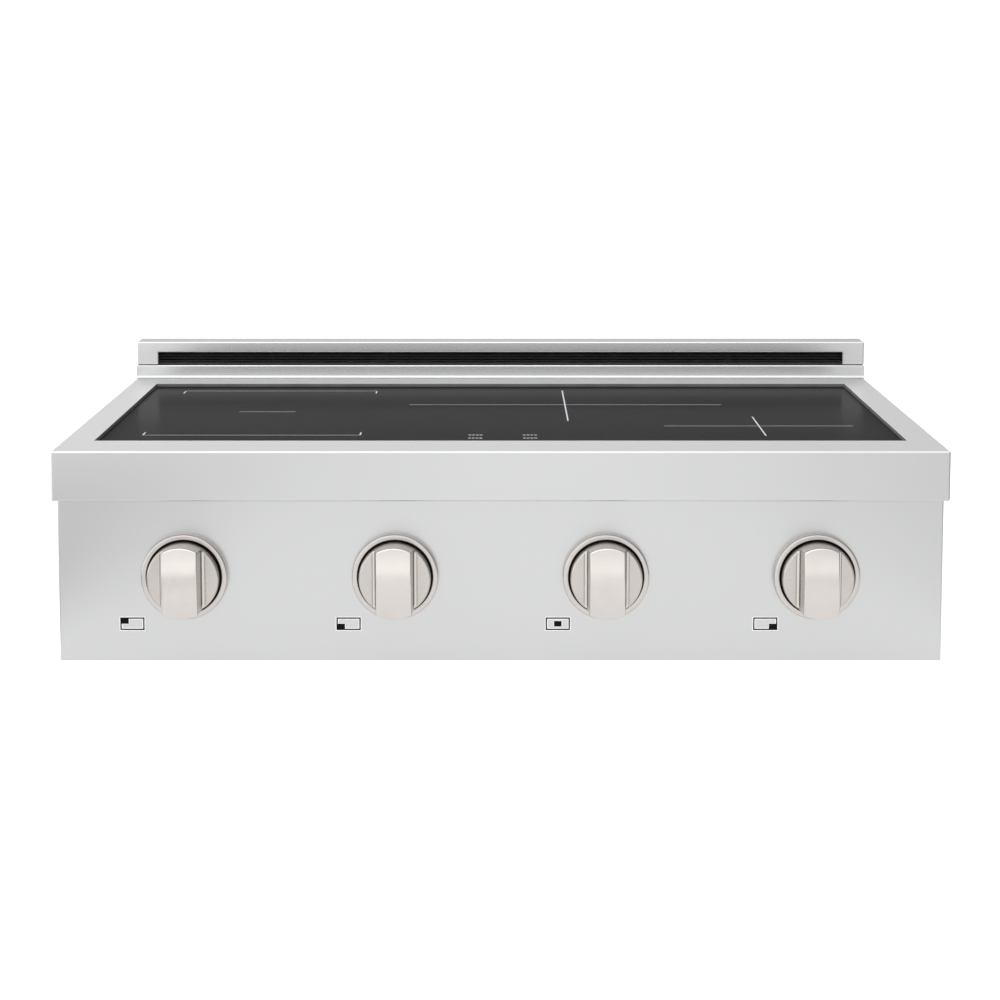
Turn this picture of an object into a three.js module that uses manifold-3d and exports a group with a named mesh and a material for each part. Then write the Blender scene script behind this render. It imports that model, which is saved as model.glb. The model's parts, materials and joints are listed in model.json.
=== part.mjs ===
// A 36 inch electric induction rangetop: a folded steel surround with a black glass-ceramic surface, a steel
// control panel with four knobs, a low rear riser with a vent slot, and the coils, power electronics and cooling
// inside. Millimetres, +Z up, the front faces -Y. The origin is the centre of the bottom of the bounding box.
import * as THREE from "three";
import { mergeVertices } from "three/addons/utils/BufferGeometryUtils.js";
import Module from "manifold-3d";

const wasm = await Module();
wasm.setup();

// Driving dimensions.
const WIDTH = 912;
const OVERALL_DEPTH = 702;
const TOP_HEIGHT = 224;
const SHEET = 1.2;
const GAP = 0.3;

const TRIM_HEIGHT = 51;
const TRIM_OVERHANG = 36;
const KNOB_PROUD = 18;

const RISER_HEIGHT = 17.2;
const BACKGUARD_HEIGHT = 46;
const BACKGUARD_DEPTH = 45;
const COVER_INSET = 1;
const FOOT_RADIUS = 3.6;
const SLOT_WIDTH = 856;
const SLOT_HEIGHT = 15.9;
const GRILLE_SETBACK = 6.5;
const LOUVRE_PITCH = 3.6;
const LOUVRE_COUNT = 4;

const OPENING_WIDTH = 847;
const OPENING_FRONT = 80;
const OPENING_REAR = 584;
const GLASS_DROP = 3.5;
const GLASS_THICKNESS = 4;
const GASKET_THICKNESS = 0.7;
const LEDGE_WIDTH = 12;

const KNOB_COUNT = 4;
const KNOB_PITCH = 217;
const KNOB_HEIGHT = 90;
const KNOB_RADIUS = 37.2;
const HANDLE_WIDTH = 35;
const BEZEL_OUTER = 44.4;
const BEZEL_INNER = 38.9;
const BEZEL_DEPTH = 12;
const LOBE_DEPTH = 24.7;
const SHAFT_RADIUS = 3;
const SELECTOR_NECK = 4.5;

const FAN_SIZE = 92;
const FAN_DEPTH = 25;
const FAN_X = 220;
const FAN_Y = -190;
const FAN_BLADES = 7;

const INLET_X = 330;
const INLET_HEIGHT = 45;

const PANEL_FOLD = 15;
const PANEL_TONGUE_TOP = 205;
const REAR_INSET = 6;
const PAN_SHEET = 1.2;
const TRAY_SHEET = 1.5;
const TRAY_Z = 192;
const CARRIER_HEIGHT = 8.2;
const COIL_HEIGHT = 6.7;
const COIL_INNER = 22;
const BOARD_SHEET = 1.6;
const BOARD_RISE = 8;
const DUCT_WIDTH = 790;
const DUCT_BOTTOM = 125;

// The four level displays: their places across, and how far behind the front trim they are.
const DISPLAYS_X = [-26.7, 31.5];
const DISPLAYS_BACK = [123, 147];

// Places worked out from them.
const SIDE_X = WIDTH / 2;
const REAR_Y = OVERALL_DEPTH / 2;
const TRIM_Y = KNOB_PROUD - REAR_Y;
const PANEL_Y = TRIM_Y + TRIM_OVERHANG;
const BACKGUARD_Y = REAR_Y - BACKGUARD_DEPTH;
const TRIM_BOTTOM = TOP_HEIGHT - TRIM_HEIGHT;
const RISER_TOP = TOP_HEIGHT + RISER_HEIGHT;
const COVER_TOP = TOP_HEIGHT + BACKGUARD_HEIGHT;
const HANDLE_DEPTH = TRIM_OVERHANG + KNOB_PROUD;
const OPENING_X = OPENING_WIDTH / 2;
const OPENING_Y0 = TRIM_Y + OPENING_FRONT;
const OPENING_Y1 = TRIM_Y + OPENING_REAR;
const GLASS_TOP_Z = TOP_HEIGHT - GLASS_DROP;
const GLASS_BOTTOM_Z = GLASS_TOP_Z - GLASS_THICKNESS;
const LEDGE_Z = GLASS_BOTTOM_Z - GASKET_THICKNESS - 2 * GAP;
const CARRIER_Z = TRAY_Z + TRAY_SHEET + GAP;
const COIL_Z = CARRIER_Z + CARRIER_HEIGHT + GAP;
const CASING_X = SIDE_X - SHEET - GAP;
const SIDES_Y0 = PANEL_Y + PANEL_FOLD + GAP;
const REAR_PANEL_Y = REAR_Y - REAR_INSET;
const DUCT_Y0 = BACKGUARD_Y + 14;
const DUCT_Y1 = REAR_Y - 12;
const FLOOR_Z = PAN_SHEET + GAP;
const BOARD_Z = FLOOR_Z + BOARD_RISE;

// Each cooking zone: where its coil is centred, and the coil's outer radius.
const ZONES = {
  front_left: { x: -267, y: TRIM_Y + 243, radius: 92 },
  rear_left: { x: -267, y: TRIM_Y + 439, radius: 92 },
  centre: { x: 75, y: TRIM_Y + 403, radius: 116 },
  front_right: { x: 283, y: TRIM_Y + 216, radius: 80 },
};

function metal(color, roughness) {
  return new THREE.MeshStandardMaterial({ color, roughness, metalness: 1 });
}

function coating(color, roughness) {
  return new THREE.MeshStandardMaterial({ color, roughness, metalness: 0 });
}

const MATERIALS = {
  steel: metal(0xc9ccd0, 0.3),
  galvanised: metal(0x9da2a6, 0.5),
  nickel: metal(0xd0c8c0, 0.32),
  shaftSteel: metal(0x8f9296, 0.35),
  aluminium: metal(0xb9bcc0, 0.4),
  copper: metal(0xb87348, 0.4),
  glass: coating(0x14161a, 0.12),
  rubber: coating(0x1c1c1e, 0.9),
  blackSteel: coating(0x151617, 0.45),
  blackPlastic: coating(0x1d1e20, 0.6),
  ferrite: coating(0x3a3c40, 0.75),
  board: coating(0x1f5a3a, 0.55),
  ceramic: coating(0xe6e2d6, 0.6),
};

// A closed geometry as a solid that can be joined and cut.
function solid(geometry) {
  const bare = geometry.clone();
  bare.deleteAttribute("normal");
  bare.deleteAttribute("uv");
  const merged = mergeVertices(bare, 1e-4);
  const corners = merged.index.array;
  const kept = [];
  for (let i = 0; i < corners.length; i += 3) {
    const [a, b, c] = corners.slice(i, i + 3);
    if (a !== b && b !== c && c !== a) kept.push(a, b, c);
  }
  const vertProperties = new Float32Array(merged.attributes.position.array);
  const triVerts = new Uint32Array(kept);
  return new wasm.Manifold(new wasm.Mesh({ numProp: 3, vertProperties, triVerts }));
}

function box(x0, x1, y0, y1, z0, z1) {
  const geometry = new THREE.BoxGeometry(x1 - x0, y1 - y0, z1 - z0);
  geometry.translate((x0 + x1) / 2, (y0 + y1) / 2, (z0 + z1) / 2);
  return solid(geometry);
}

// A round bar along Z.
function post(x, y, z0, z1, radius, sides = 12) {
  const geometry = new THREE.CylinderGeometry(radius, radius, z1 - z0, sides);
  geometry.rotateX(Math.PI / 2);
  geometry.translate(x, y, (z0 + z1) / 2);
  return solid(geometry);
}

// A round bar along Y.
function rod(x, z, y0, y1, radius, sides = 12) {
  const geometry = new THREE.CylinderGeometry(radius, radius, y1 - y0, sides);
  geometry.translate(x, (y0 + y1) / 2, z);
  return solid(geometry);
}

// A solid of revolution about the Z axis, from [radius, height] points that close on themselves.
function turned(points, x, y, sides = 32) {
  const profile = [...points, points[0]].map(([r, h]) => new THREE.Vector2(r, h));
  const geometry = new THREE.LatheGeometry(profile, sides);
  geometry.rotateX(Math.PI / 2);
  geometry.translate(x, y, 0);
  return solid(geometry);
}

// A solid of revolution about a knob's axis, from [radius, distance ahead of the control panel] points.
function turnedAhead(points, x, sides = 32) {
  const profile = [...points, points[0]].map(([r, h]) => new THREE.Vector2(r, h));
  const geometry = new THREE.LatheGeometry(profile, sides);
  geometry.rotateX(Math.PI);
  geometry.translate(x, PANEL_Y, KNOB_HEIGHT);
  return solid(geometry);
}

// A bar along X, from the outline of its section: the outline's x is the depth Y, and its y is the height Z.
function barAlongX(outline, x0, x1, curveSegments = 10) {
  const geometry = new THREE.ExtrudeGeometry(outline, { depth: x1 - x0, bevelEnabled: false, curveSegments });
  geometry.rotateY(Math.PI / 2);
  geometry.rotateX(Math.PI / 2);
  geometry.translate(x0, 0, 0);
  return solid(geometry);
}

function join(...solids) {
  return solids.reduce((whole, piece) => whole.add(piece));
}

function cut(whole, ...tools) {
  return tools.reduce((rest, tool) => rest.subtract(tool), whole);
}

const rangetop = new THREE.Group();

function add(name, shape, material) {
  const { vertProperties, triVerts } = shape.getMesh();
  const indexed = new THREE.BufferGeometry();
  indexed.setAttribute("position", new THREE.BufferAttribute(vertProperties, 3));
  indexed.setIndex(new THREE.BufferAttribute(triVerts, 1));
  const geometry = indexed.toNonIndexed();
  geometry.computeVertexNormals();
  const mesh = new THREE.Mesh(geometry, material);
  mesh.name = name;
  rangetop.add(mesh);
}

function knobX(index) {
  return (index - (KNOB_COUNT - 1) / 2) * KNOB_PITCH;
}

// The folded surround: a flat top with the glass opening, a skirt all round, a closed lip under the front trim,
// and a wall and a ledge around the opening that carry the glass.
function topFrame() {
  const skin = cut(
    box(-SIDE_X, SIDE_X, TRIM_Y, REAR_Y, TRIM_BOTTOM, TOP_HEIGHT),
    box(
      SHEET - SIDE_X,
      SIDE_X - SHEET,
      TRIM_Y + SHEET,
      REAR_Y - SHEET,
      TRIM_BOTTOM - 1,
      TOP_HEIGHT - SHEET,
    ),
  );
  const lip = box(-SIDE_X, SIDE_X, TRIM_Y, PANEL_Y - GAP, TRIM_BOTTOM, TRIM_BOTTOM + SHEET);
  const well = box(
    -OPENING_X - SHEET,
    OPENING_X + SHEET,
    OPENING_Y0 - SHEET,
    OPENING_Y1 + SHEET,
    LEDGE_Z - SHEET,
    TOP_HEIGHT,
  );
  const opening = box(-OPENING_X, OPENING_X, OPENING_Y0, OPENING_Y1, LEDGE_Z, TOP_HEIGHT + 1);
  const window = box(
    LEDGE_WIDTH - OPENING_X,
    OPENING_X - LEDGE_WIDTH,
    OPENING_Y0 + LEDGE_WIDTH,
    OPENING_Y1 - LEDGE_WIDTH,
    LEDGE_Z - SHEET - 1,
    TOP_HEIGHT + 1,
  );
  const ventX = DUCT_WIDTH / 2 - 5;
  const vent = box(-ventX, ventX, DUCT_Y0 + 2, DUCT_Y1 - 2, TOP_HEIGHT - 5, TOP_HEIGHT + 1);
  return cut(join(skin, lip, well), opening, window, vent);
}

// The glass lies a little below the steel, half a millimetre inside its opening.
function glassTop() {
  const edge = 0.5;
  return box(
    edge - OPENING_X,
    OPENING_X - edge,
    OPENING_Y0 + edge,
    OPENING_Y1 - edge,
    GLASS_BOTTOM_Z,
    GLASS_TOP_Z,
  );
}

// The flat seal between the ledge and the glass.
function glassGasket() {
  const edge = 1;
  const width = 9;
  const z0 = LEDGE_Z + GAP;
  const z1 = z0 + GASKET_THICKNESS;
  return cut(
    box(edge - OPENING_X, OPENING_X - edge, OPENING_Y0 + edge, OPENING_Y1 - edge, z0, z1),
    box(
      edge + width - OPENING_X,
      OPENING_X - edge - width,
      OPENING_Y0 + edge + width,
      OPENING_Y1 - edge - width,
      z0 - 1,
      z1 + 1,
    ),
  );
}

// The control panel: a flat face with folded sides and bottom, and a tongue that goes up behind the trim.
function frontPanel() {
  const back = PANEL_Y + SHEET;
  const side = (x0) => box(x0, x0 + SHEET, PANEL_Y, PANEL_Y + PANEL_FOLD, 0, TRIM_BOTTOM - GAP);
  let panel = join(
    box(-SIDE_X, SIDE_X, PANEL_Y, back, 0, TRIM_BOTTOM - GAP),
    box(-SIDE_X + 2, SIDE_X - 2, PANEL_Y, back, TRIM_BOTTOM - GAP - 1, PANEL_TONGUE_TOP),
    side(-SIDE_X),
    side(SIDE_X - SHEET),
    box(-SIDE_X, SIDE_X, PANEL_Y, PANEL_Y + PANEL_FOLD, 0, SHEET),
  );
  for (let i = 0; i < KNOB_COUNT; i += 1) {
    panel = panel.subtract(rod(knobX(i), KNOB_HEIGHT, PANEL_Y - 1, back + 1, SELECTOR_NECK + 0.5));
  }
  return panel;
}

// A side of the casing, with a flange folded in along its top.
function sidePanel(sign) {
  const flangeWidth = 14;
  const z1 = TRIM_BOTTOM - GAP;
  const sheet = (reach, z0) => {
    const inner = sign * (SIDE_X - reach);
    const outer = sign * SIDE_X;
    return box(Math.min(inner, outer), Math.max(inner, outer), SIDES_Y0, REAR_Y, z0, z1);
  };
  return join(sheet(SHEET, 0), sheet(flangeWidth, z1 - SHEET));
}

// The back of the casing, set in a little, with vertical vent slots and the hole for the inlet.
function rearPanel() {
  const slots = 14;
  const pitch = 30;
  const firstX = -300;
  const y0 = REAR_PANEL_Y;
  const y1 = y0 + SHEET;
  let panel = box(-CASING_X, CASING_X, y0, y1, FLOOR_Z, TRIM_BOTTOM - 2 * GAP - SHEET);
  for (let i = 0; i < slots; i += 1) {
    const x = firstX + i * pitch;
    panel = panel.subtract(box(x - 4, x + 4, y0 - 1, y1 + 1, 60, 110));
  }
  return panel.subtract(rod(INLET_X, INLET_HEIGHT, y0 - 1, y1 + 1, 14));
}

// The floor of the casing, with an upturned edge at each side and intake slots below each fan.
function basePan() {
  const rise = 22;
  const edgeEnd = REAR_PANEL_Y - 2;
  const slotPitch = 11;
  const slotCircle = 40;
  let pan = join(
    box(-CASING_X, CASING_X, SIDES_Y0, REAR_Y, 0, PAN_SHEET),
    box(-CASING_X, PAN_SHEET - CASING_X, SIDES_Y0, edgeEnd, 0, rise),
    box(CASING_X - PAN_SHEET, CASING_X, SIDES_Y0, edgeEnd, 0, rise),
  );
  for (const fanX of [-FAN_X, FAN_X]) {
    for (let i = -3; i <= 3; i += 1) {
      const x = fanX + i * slotPitch;
      const reach = Math.sqrt(slotCircle ** 2 - (i * slotPitch) ** 2);
      pan = pan.subtract(box(x - 3, x + 3, FAN_Y - reach, FAN_Y + reach, -1, PAN_SHEET + 1));
    }
  }
  return pan;
}

// The lower step of the backguard, open below and open above inside its top lip, with a concave foot in front.
function riser() {
  const lip = 12;
  const toe = 0.5;
  const z0 = TOP_HEIGHT + GAP;
  const inside = (edge, from, to) =>
    box(edge - SIDE_X, SIDE_X - edge, BACKGUARD_Y + edge, REAR_Y - edge, from, to);
  const foot = new THREE.Shape();
  foot.moveTo(BACKGUARD_Y + SHEET / 2, z0);
  foot.lineTo(BACKGUARD_Y + SHEET / 2, z0 + toe + FOOT_RADIUS);
  foot.lineTo(BACKGUARD_Y, z0 + toe + FOOT_RADIUS);
  foot.absarc(BACKGUARD_Y - FOOT_RADIUS, z0 + toe + FOOT_RADIUS, FOOT_RADIUS, 0, -Math.PI / 2, true);
  foot.lineTo(BACKGUARD_Y - FOOT_RADIUS, z0);
  return cut(
    join(
      box(-SIDE_X, SIDE_X, BACKGUARD_Y, REAR_Y, z0, RISER_TOP),
      barAlongX(foot, -SIDE_X, SIDE_X, 5),
    ),
    inside(SHEET, TOP_HEIGHT - 1, RISER_TOP - SHEET),
    inside(lip, TOP_HEIGHT, RISER_TOP + 1),
  );
}

// The upper cover of the backguard: a box open below, with the long notch of the vent in its front.
function backguardCover() {
  const x = SIDE_X - COVER_INSET;
  const z0 = RISER_TOP + GAP;
  return cut(
    box(-x, x, BACKGUARD_Y, REAR_Y, z0, COVER_TOP),
    box(SHEET - x, x - SHEET, BACKGUARD_Y + SHEET, REAR_Y - SHEET, z0 - 1, COVER_TOP - SHEET),
    box(-SLOT_WIDTH / 2, SLOT_WIDTH / 2, BACKGUARD_Y - 1, BACKGUARD_Y + 3, z0 - 1, RISER_TOP + SLOT_HEIGHT),
  );
}

// The black louvred grille behind the vent slot.
function ventGrille() {
  const margin = 4;
  const depth = 6;
  const frame = 1.6;
  const barPitch = 143;
  const x = SLOT_WIDTH / 2 + margin;
  const y0 = BACKGUARD_Y + GRILLE_SETBACK;
  const y1 = y0 + depth;
  const z0 = RISER_TOP + GAP;
  const z1 = RISER_TOP + SLOT_HEIGHT + margin;
  let grille = cut(
    box(-x, x, y0, y1, z0, z1),
    box(frame - x, x - frame, y0 - 1, y1 + 1, z0 + frame, z1 - 5),
  );
  const slat = new THREE.BoxGeometry(2 * x - 2, depth, 0.9);
  slat.rotateX(-0.35);
  for (let i = 0; i < LOUVRE_COUNT; i += 1) {
    const louvre = slat.clone();
    louvre.translate(0, (y0 + y1) / 2, z0 + 2.4 + (i + 0.25) * LOUVRE_PITCH);
    grille = grille.add(solid(louvre));
  }
  for (let i = -2; i <= 2; i += 1) {
    grille = grille.add(box(i * barPitch - 0.8, i * barPitch + 0.8, y0 + depth / 2, y1, z0, z1));
  }
  return grille;
}

// The fixed ring around a knob, with a thin flange on the panel behind the knob.
function bezel(index) {
  const round = 1.5;
  const points = [
    [9, GAP],
    [BEZEL_OUTER, GAP],
    [BEZEL_OUTER, BEZEL_DEPTH - round],
    [BEZEL_OUTER - round, BEZEL_DEPTH],
    [BEZEL_INNER, BEZEL_DEPTH],
    [BEZEL_INNER, GAP + SHEET],
    [9, GAP + SHEET],
  ];
  return turnedAhead(points, knobX(index));
}

// The knob: a round skirt with a full-width grip bar whose front is slightly crowned, hollow behind, and a hub
// that takes the shaft.
function knob(index) {
  const x = knobX(index);
  const back = 3;
  const wall = 3;
  const crownDrop = 4;
  const frontRadius = KNOB_RADIUS - 1;
  const skirt = turnedAhead(
    [
      [0, back],
      [KNOB_RADIUS, back],
      [KNOB_RADIUS, BEZEL_DEPTH],
      [KNOB_RADIUS - 0.4, LOBE_DEPTH - 3],
      [KNOB_RADIUS - 1.2, LOBE_DEPTH - 0.8],
      [KNOB_RADIUS - 2.4, LOBE_DEPTH],
      [0, LOBE_DEPTH],
    ],
    x,
  );
  const cone = turnedAhead(
    [
      [0, back],
      [KNOB_RADIUS, back],
      [KNOB_RADIUS, BEZEL_DEPTH],
      [frontRadius, HANDLE_DEPTH - 1],
      [frontRadius, HANDLE_DEPTH + 1],
      [0, HANDLE_DEPTH + 1],
    ],
    x,
  );
  // The bar's section across the knob: straight sides and a crowned front.
  const rim = KNOB_RADIUS + 1;
  const frontY = PANEL_Y - HANDLE_DEPTH;
  const outline = new THREE.Shape();
  outline.moveTo(PANEL_Y - back, KNOB_HEIGHT - rim);
  outline.lineTo(frontY + crownDrop, KNOB_HEIGHT - rim);
  outline.quadraticCurveTo(frontY - crownDrop, KNOB_HEIGHT, frontY + crownDrop, KNOB_HEIGHT + rim);
  outline.lineTo(PANEL_Y - back, KNOB_HEIGHT + rim);
  const bar = barAlongX(outline, x - HANDLE_WIDTH / 2, x + HANDLE_WIDTH / 2);
  const hollow = turnedAhead(
    [
      [0, back - 1],
      [KNOB_RADIUS - wall - 1, back - 1],
      [KNOB_RADIUS - wall - 1, LOBE_DEPTH - wall],
      [0, LOBE_DEPTH - wall],
    ],
    x,
  );
  const barHollow = box(
    x - HANDLE_WIDTH / 2 + wall,
    x + HANDLE_WIDTH / 2 - wall,
    PANEL_Y - HANDLE_DEPTH + crownDrop + wall,
    PANEL_Y - back + 1,
    KNOB_HEIGHT - frontRadius + 8,
    KNOB_HEIGHT + frontRadius - 8,
  );
  const hub = rod(x, KNOB_HEIGHT, PANEL_Y - HANDLE_DEPTH + 6, PANEL_Y - 6, 8);
  const bore = rod(x, KNOB_HEIGHT, PANEL_Y - 27, PANEL_Y - 5, SHAFT_RADIUS + GAP);
  const body = cut(join(skirt, cone.intersect(bar)), hollow, barHollow);
  return body.add(hub).subtract(bore);
}

// A knob's shaft, with a flat filed on the end that the hub holds.
function knobShaft(index) {
  const x = knobX(index);
  const tip = PANEL_Y - 26;
  const flatZ = KNOB_HEIGHT + SHAFT_RADIUS - 1;
  const round = rod(x, KNOB_HEIGHT, tip, PANEL_Y + 20, SHAFT_RADIUS);
  return round.subtract(box(x - 4, x + 4, tip - 1, PANEL_Y - 8, flatZ, flatZ + 3));
}

// A rotary power selector behind the panel, with the threaded neck that comes through it.
function selector(index) {
  const x = knobX(index);
  const y0 = PANEL_Y + 10;
  const body = join(
    box(x - 14, x + 14, y0, y0 + 20, KNOB_HEIGHT - 16, KNOB_HEIGHT + 14),
    rod(x, KNOB_HEIGHT, PANEL_Y - 2, y0 + 1, SELECTOR_NECK),
    box(x - 10, x + 10, y0 + 4, y0 + 7, KNOB_HEIGHT - 26, KNOB_HEIGHT - 15),
  );
  return body.subtract(rod(x, KNOB_HEIGHT, PANEL_Y - 3, PANEL_Y + 21, SHAFT_RADIUS + GAP));
}

// The rail that carries the four selectors, with a foot at each end that stands on the back of the panel.
function selectorRail() {
  const sheet = 1.6;
  const y0 = PANEL_Y + 8;
  const y1 = y0 + sheet;
  const z0 = KNOB_HEIGHT - 20;
  const z1 = KNOB_HEIGHT + 20;
  const x = ((KNOB_COUNT - 1) / 2) * KNOB_PITCH + 40;
  const foot = (x0) => box(x0, x0 + sheet, PANEL_Y + SHEET + GAP, y1, z0, z1);
  let rail = join(box(-x, x, y0, y1, z0, z1), foot(-x), foot(x - sheet));
  for (let i = 0; i < KNOB_COUNT; i += 1) {
    rail = rail.subtract(rod(knobX(i), KNOB_HEIGHT, y0 - 1, y1 + 1, SELECTOR_NECK + GAP));
  }
  return rail;
}

// The plate under the coils, on four legs that stand on the base pan.
function coilTray() {
  const x = OPENING_X - 6;
  const y0 = OPENING_Y0 + 4;
  const y1 = OPENING_Y1 - 4;
  const z1 = TRAY_Z + TRAY_SHEET;
  const edge = 18;
  const legWidth = 30;
  const solids = [
    box(-x, x, y0, y1, TRAY_Z, z1),
    box(-x, TRAY_SHEET - x, y0, y1, TRAY_Z - edge, z1),
    box(x - TRAY_SHEET, x, y0, y1, TRAY_Z - edge, z1),
  ];
  for (const legX of [-x, x - TRAY_SHEET]) {
    for (const legY of [y0, y1 - legWidth]) {
      solids.push(box(legX, legX + TRAY_SHEET, legY, legY + legWidth, FLOOR_Z, z1));
    }
  }
  let tray = join(...solids);
  for (const { x: screwX, y: screwY } of trayScrewPlaces()) {
    tray = tray.subtract(post(screwX, screwY, TRAY_Z - 1, z1 + 1, 2 + GAP, 8));
  }
  return tray;
}

function trayScrewPlaces() {
  const x = OPENING_X - 18;
  const near = OPENING_Y0 + 20;
  const far = OPENING_Y1 - 20;
  return [
    { x: -x, y: near },
    { x, y: near },
    { x: -x, y: far },
    { x, y: far },
  ];
}

// A screw in the tray: its head stands just clear of the sheet.
function trayScrew({ x, y }) {
  const z = TRAY_Z + TRAY_SHEET + GAP;
  return join(post(x, y, z, z + 2.6, 4), post(x, y, TRAY_Z - 8, z + 1, 2, 8));
}

// A coil's flat winding, as one ring.
function coil({ x, y, radius }) {
  const top = COIL_Z + COIL_HEIGHT;
  return turned([[COIL_INNER, COIL_Z], [radius, COIL_Z], [radius, top], [COIL_INNER, top]], x, y);
}

// The moulded disc under a coil, with radial ferrite bars under it.
function coilCarrier({ x, y, radius }) {
  const plateZ = CARRIER_Z + 5;
  const top = CARRIER_Z + CARRIER_HEIGHT;
  let carrier = turned([[4, plateZ], [radius + 5, plateZ], [radius + 5, top], [4, top]], x, y, 28);
  carrier = carrier.add(turned([[4, CARRIER_Z], [16, CARRIER_Z], [16, top], [4, top]], x, y, 14));
  const bars = 8;
  for (let i = 0; i < bars; i += 1) {
    const length = radius - 20;
    const bar = new THREE.BoxGeometry(length, 11, plateZ - CARRIER_Z + 1);
    bar.translate(14 + length / 2, 0, (CARRIER_Z + plateZ + 1) / 2);
    bar.rotateZ((i * 2 * Math.PI) / bars);
    bar.translate(x, y, 0);
    carrier = carrier.add(solid(bar));
  }
  return carrier;
}

// The temperature sensor in the middle of a coil: a disc with a post that comes up under the glass.
function zoneSensor({ x, y }) {
  return join(post(x, y, COIL_Z, COIL_Z + 2, 12), post(x, y, COIL_Z, GLASS_BOTTOM_Z - GAP, 4.5));
}

// The board behind the level displays, on two feet that stand on the tray.
function displayBoard() {
  const y0 = TRIM_Y + 110;
  const y1 = TRIM_Y + 160;
  const z0 = CARRIER_Z + 9;
  const solids = [box(-70, 74, y0, y1, z0, z0 + BOARD_SHEET)];
  for (const x of [-66, 62]) {
    solids.push(box(x, x + 8, y0 + 20, y0 + 30, CARRIER_Z, z0 + 1));
  }
  for (const x of DISPLAYS_X) {
    for (const back of DISPLAYS_BACK) {
      const y = TRIM_Y + back;
      solids.push(box(x - 9, x + 9, y - 6, y + 6, z0 + 1, z0 + 9));
    }
  }
  return join(...solids);
}

// A power board: its components are soldered on, so they are one piece with it.
function powerBoard(sign) {
  const y0 = -110;
  const y1 = 130;
  const z0 = BOARD_Z;
  const at = (x0, x1) => (sign > 0 ? [x0, x1] : [-x1, -x0]);
  const block = (x0, x1, ya, yb, za, zb) => box(...at(x0, x1), ya, yb, za, zb);
  const solids = [block(90, 350, y0, y1, z0, z0 + BOARD_SHEET)];
  for (const x of [94, 338]) {
    for (const y of [y0 + 4, y1 - 12]) {
      solids.push(block(x, x + 8, y, y + 8, FLOOR_Z, z0 + 1));
    }
  }
  solids.push(block(110, 150, -80, -40, z0 + 1, z0 + 34));
  solids.push(block(110, 150, -20, 20, z0 + 1, z0 + 34));
  for (const y of [60, 90]) {
    solids.push(post(sign * 130, y, z0 + 1, z0 + 40, 12));
    solids.push(post(sign * 320, y, z0 + 1, z0 + 32, 10));
  }
  solids.push(block(300, 336, -90, -30, z0 + 1, z0 + 24));
  return join(...solids);
}

// The finned heat sink that stands on a power board, in line with its fan.
function heatSink(sign) {
  const fins = 9;
  const pitch = 11;
  const finHeight = 42;
  const baseHeight = 6;
  const y0 = -100;
  const y1 = 120;
  const half = ((fins - 1) * pitch) / 2 + 1;
  const z0 = BOARD_Z + BOARD_SHEET + GAP;
  const x = sign * FAN_X;
  const solids = [box(x - half, x + half, y0, y1, z0, z0 + baseHeight)];
  for (let i = 0; i < fins; i += 1) {
    const finX = x - half + 1 + i * pitch;
    solids.push(box(finX - 1, finX + 1, y0, y1, z0, z0 + finHeight));
  }
  return join(...solids);
}

// An axial fan's frame, with the motor seat held by four struts below and a fixed pin for the rotor.
function fanHousing(sign) {
  const x = sign * FAN_X;
  const half = FAN_SIZE / 2;
  const z0 = FLOOR_Z;
  const frame = cut(
    box(x - half, x + half, FAN_Y - half, FAN_Y + half, z0, z0 + FAN_DEPTH),
    post(x, FAN_Y, z0 - 1, z0 + FAN_DEPTH + 1, half - 2.6, 32),
  );
  return join(
    frame,
    box(x - half + 1, x + half - 1, FAN_Y - 2, FAN_Y + 2, z0, z0 + 3),
    box(x - 2, x + 2, FAN_Y - half + 1, FAN_Y + half - 1, z0, z0 + 3),
    post(x, FAN_Y, z0, z0 + 4, 19, 20),
    post(x, FAN_Y, z0, z0 + 20, 1.5),
  );
}

// A fan's rotor: a hub that turns on the fixed pin, with tilted blades.
function fanRotor(sign) {
  const x = sign * FAN_X;
  const z0 = FLOOR_Z + 5;
  const z1 = FLOOR_Z + FAN_DEPTH - 1;
  const hubRadius = 18;
  const tipRadius = FAN_SIZE / 2 - 4;
  let rotor = post(x, FAN_Y, z0, z1, hubRadius, 20);
  for (let i = 0; i < FAN_BLADES; i += 1) {
    const blade = new THREE.BoxGeometry(tipRadius - hubRadius + 1, 20, 1.4);
    blade.rotateX(0.75);
    blade.translate((tipRadius + hubRadius - 1) / 2, 0, (z0 + z1) / 2);
    blade.rotateZ((i * 2 * Math.PI) / FAN_BLADES);
    blade.translate(x, FAN_Y, 0);
    rotor = rotor.add(solid(blade));
  }
  return rotor.subtract(post(x, FAN_Y, z0 - 1, z0 + 16, 1.5 + GAP));
}

// The mains filter: a board on two feet with two round chokes and a capacitor.
function filterBoard() {
  const x0 = INLET_X - 125;
  const z0 = BOARD_Z;
  return join(
    box(x0, x0 + 70, 160, 300, z0, z0 + BOARD_SHEET),
    box(x0 + 4, x0 + 12, 164, 172, FLOOR_Z, z0 + 1),
    box(x0 + 58, x0 + 66, 288, 296, FLOOR_Z, z0 + 1),
    post(x0 + 35, 200, z0 + 1, z0 + 22, 18, 16),
    post(x0 + 35, 250, z0 + 1, z0 + 22, 18, 16),
    box(x0 + 10, x0 + 60, 276, 286, z0 + 1, z0 + 20),
  );
}

// A rectangular tube that leads the cooling air up to the backguard.
function exhaustDuct() {
  const x = DUCT_WIDTH / 2;
  const z1 = TOP_HEIGHT - SHEET - GAP;
  return cut(
    box(-x, x, DUCT_Y0, DUCT_Y1, DUCT_BOTTOM, z1),
    box(SHEET - x, x - SHEET, DUCT_Y0 + SHEET, DUCT_Y1 - SHEET, DUCT_BOTTOM - 1, z1 + 1),
  );
}

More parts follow.
